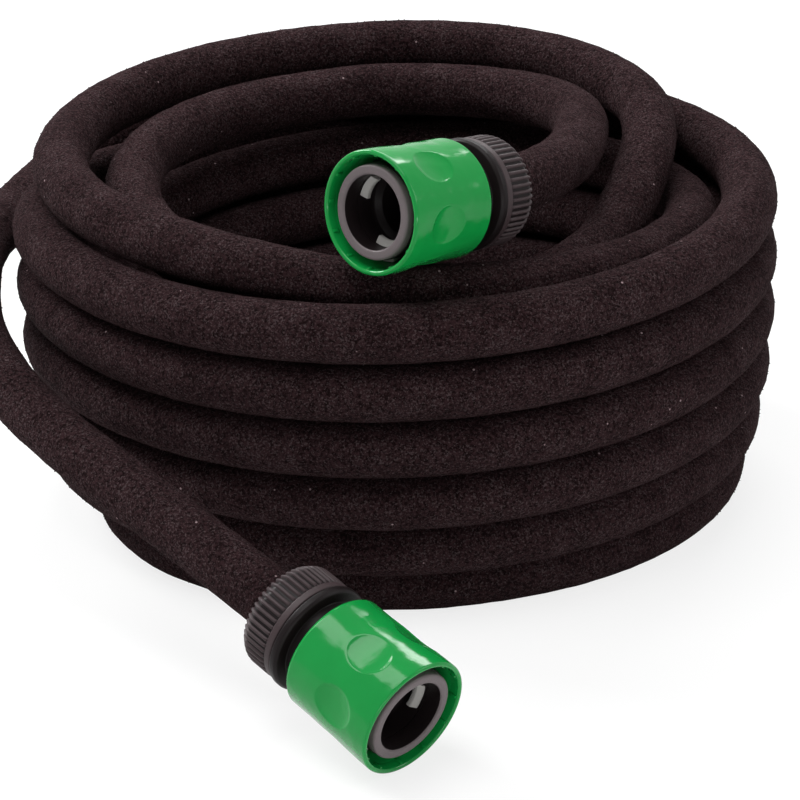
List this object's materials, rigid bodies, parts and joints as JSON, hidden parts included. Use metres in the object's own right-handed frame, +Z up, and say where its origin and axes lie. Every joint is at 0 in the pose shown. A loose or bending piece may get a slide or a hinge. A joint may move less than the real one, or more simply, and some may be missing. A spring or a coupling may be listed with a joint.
{
  "type": "soaker hose",
  "caption": "Round coil of porous rubber soaker hose with a click-together female connector on each end: sliding sleeve, spring, claws, grip ring and ribbed nut.",
  "frame": {"origin": "on the ground, under the middle of the whole object", "axes": "+Z up; the coil lies flat; -Y is the side the front connector lies on, +X is to the right of it"},
  "size_m": [0.2458, 0.3174, 0.1393],
  "materials": {
    "hose": "matte, porous and slightly fuzzy",
    "black": "satin moulded",
    "ring": "satin moulded",
    "green": "gloss moulded",
    "claw": "satin moulded",
    "steel": "drawn wire"
  },
  "bodies": {
    "root": {"hose_coil": "hose", "front_run": "hose", "top_run": "hose", "front_hose_end": "hose", "front_body": "black", "front_face_ring": "ring", "front_sleeve_spring": "steel", "top_hose_end": "hose", "top_body": "black", "top_face_ring": "ring", "top_sleeve_spring": "steel"},
    "front_sleeve": {"front_sleeve": "green"},
    "front_claw_1": {"front_claw_1": "claw"},
    "front_claw_2": {"front_claw_2": "claw"},
    "front_claw_3": {"front_claw_3": "claw"},
    "front_grip_ring": {"front_grip_ring": "claw"},
    "front_nut": {"front_nut": "black"},
    "top_sleeve": {"top_sleeve": "green"},
    "top_claw_1": {"top_claw_1": "claw"},
    "top_claw_2": {"top_claw_2": "claw"},
    "top_claw_3": {"top_claw_3": "claw"},
    "top_grip_ring": {"top_grip_ring": "claw"},
    "top_nut": {"top_nut": "black"}
  },
  "joints": [
    {"name": "front_sleeve_slide", "type": "slide", "parent": "root", "child": "front_sleeve", "axis": [-0.6522, 0.6994, 0.2924], "range_m": [0, 0.004], "stiffness_N_per_m": 1500, "springref_m": -0.004, "deforming": ["front_sleeve_spring"]},
    {"name": "front_claw_1_slide", "type": "slide", "parent": "root", "child": "front_claw_1", "axis": [0.6739, 0.7116, -0.1988], "range_m": [0, 0.00125]},
    {"name": "front_claw_2_slide", "type": "slide", "parent": "root", "child": "front_claw_2", "axis": [-0.0364, -0.4141, 0.9095], "range_m": [0, 0.00125]},
    {"name": "front_claw_3_slide", "type": "slide", "parent": "root", "child": "front_claw_3", "axis": [-0.6376, -0.2974, -0.7107], "range_m": [0, 0.00125]},
    {"name": "front_grip_slide", "type": "slide", "parent": "root", "child": "front_grip_ring", "axis": [-0.6522, 0.6994, 0.2924], "range_m": [0, 0.003]},
    {"name": "front_nut_turn", "type": "hinge", "parent": "front_grip_ring", "child": "front_nut", "pos_m": [-0.0192, -0.11525, 0.03006], "axis": [-0.6522, 0.6994, 0.2924], "range_deg": [0, 360]},
    {"name": "top_sleeve_slide", "type": "slide", "parent": "root", "child": "top_sleeve", "axis": [0.6817, 0.7183, -0.1392], "range_m": [0, 0.004], "stiffness_N_per_m": 1500, "springref_m": -0.004, "deforming": ["top_sleeve_spring"]},
    {"name": "top_claw_1_slide", "type": "slide", "parent": "root", "child": "top_claw_1", "axis": [-0.0958, -0.101, -0.9903], "range_m": [0, 0.00125]},
    {"name": "top_claw_2_slide", "type": "slide", "parent": "root", "child": "top_claw_2", "axis": [0.6761, -0.5457, 0.4951], "range_m": [0, 0.00125]},
    {"name": "top_claw_3_slide", "type": "slide", "parent": "root", "child": "top_claw_3", "axis": [-0.5803, 0.6466, 0.4951], "range_m": [0, 0.00125]},
    {"name": "top_grip_slide", "type": "slide", "parent": "root", "child": "top_grip_ring", "axis": [0.6817, 0.7183, -0.1392], "range_m": [0, 0.003]},
    {"name": "top_nut_turn", "type": "hinge", "parent": "top_grip_ring", "child": "top_nut", "pos_m": [0.03372, -0.0234, 0.11614], "axis": [0.6817, 0.7183, -0.1392], "range_deg": [0, 360]}
  ],
  "couplings": [
    {"joint": "front_claw_1_slide", "follows": "front_sleeve_slide", "ratio": 0.3},
    {"joint": "front_claw_2_slide", "follows": "front_sleeve_slide", "ratio": 0.3},
    {"joint": "front_claw_3_slide", "follows": "front_sleeve_slide", "ratio": 0.3},
    {"joint": "front_nut_turn", "follows": "front_grip_slide", "rad_per_m": 2094.3},
    {"joint": "top_claw_1_slide", "follows": "top_sleeve_slide", "ratio": 0.3},
    {"joint": "top_claw_2_slide", "follows": "top_sleeve_slide", "ratio": 0.3},
    {"joint": "top_claw_3_slide", "follows": "top_sleeve_slide", "ratio": 0.3},
    {"joint": "top_nut_turn", "follows": "top_grip_slide", "rad_per_m": 2094.3}
  ]
}
